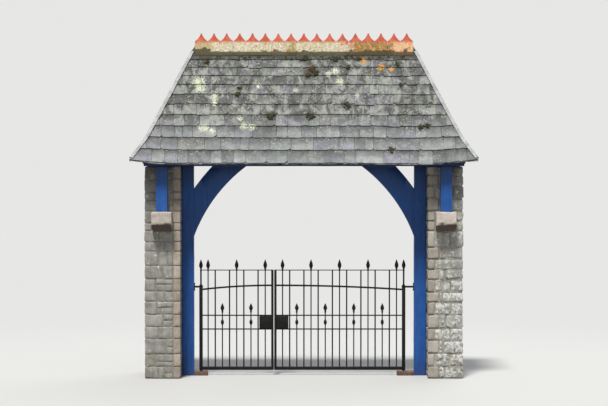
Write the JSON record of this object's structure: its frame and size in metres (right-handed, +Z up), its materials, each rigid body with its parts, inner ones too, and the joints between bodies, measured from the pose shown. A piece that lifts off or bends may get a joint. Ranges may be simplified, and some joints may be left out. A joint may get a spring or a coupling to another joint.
{
  "type": "lychgate",
  "caption": "Roofed gateway: rubble side walls, painted timber frame, hipped bell-cast slate roof with crested ridge tiles, and a pair of unequal wrought-iron gate leaves.",
  "frame": {"origin": "on the ground under the middle of the gateway, in the plane of the closed gates", "axes": "+X across the passage towards the wide leaf's hinge, +Y through the passage away from the side the leaves open to, +Z up"},
  "size_m": [4.01, 1.44, 4.0264],
  "materials": {
    "rubble": "rough rubble in lime mortar, weathered, with lichen",
    "dressed_stone": "tooled blocks, weathered",
    "painted_timber": "blue gloss paint, slightly weathered",
    "bare_timber": "sawn, dark with age",
    "slate": "riven slate with lichen and moss",
    "terracotta": "unglazed red clay with pale lichen",
    "mortar": "weathered lime mortar",
    "wrought_iron": "black paint over forged iron",
    "heel_stone": "reddish brown stone, worn"
  },
  "bodies": {
    "structure": {"left_wall": "rubble", "right_wall": "rubble", "front_corbels": "dressed_stone", "rear_corbels": "dressed_stone", "front_struts": "painted_timber", "rear_struts": "painted_timber", "left_post": "painted_timber", "right_post": "painted_timber", "left_brace": "painted_timber", "right_brace": "painted_timber", "tie_beam": "painted_timber", "front_plate": "painted_timber", "rear_plate": "painted_timber", "left_plate": "painted_timber", "right_plate": "painted_timber", "ridge_board": "bare_timber", "hip_rafters": "bare_timber", "front_rafters": "bare_timber", "rear_rafters": "bare_timber", "left_rafters": "bare_timber", "right_rafters": "bare_timber", "front_boarding": "bare_timber", "left_boarding": "bare_timber", "rear_boarding": "bare_timber", "right_boarding": "bare_timber", "front_slates": "slate", "left_slates": "slate", "rear_slates": "slate", "right_slates": "slate", "ridge_tiles": "terracotta", "hip_fillets": "mortar", "left_hinge_collar": "wrought_iron", "left_heel_stone": "heel_stone", "right_hinge_collar": "wrought_iron", "right_heel_stone": "heel_stone"},
    "narrow_leaf": {"narrow_leaf": "wrought_iron", "lock_case": "wrought_iron"},
    "wide_leaf": {"wide_leaf": "wrought_iron", "lock_keep": "wrought_iron"}
  },
  "joints": [
    {"name": "narrow_leaf_hinge", "type": "hinge", "parent": "structure", "child": "narrow_leaf", "pos_m": [-1.215, 0, 0.5], "axis": [0, 0, -1], "range_deg": [0, 90]},
    {"name": "wide_leaf_hinge", "type": "hinge", "parent": "structure", "child": "wide_leaf", "pos_m": [1.175, 0, 0.5], "axis": [0, 0, 1], "range_deg": [0, 90]}
  ]
}
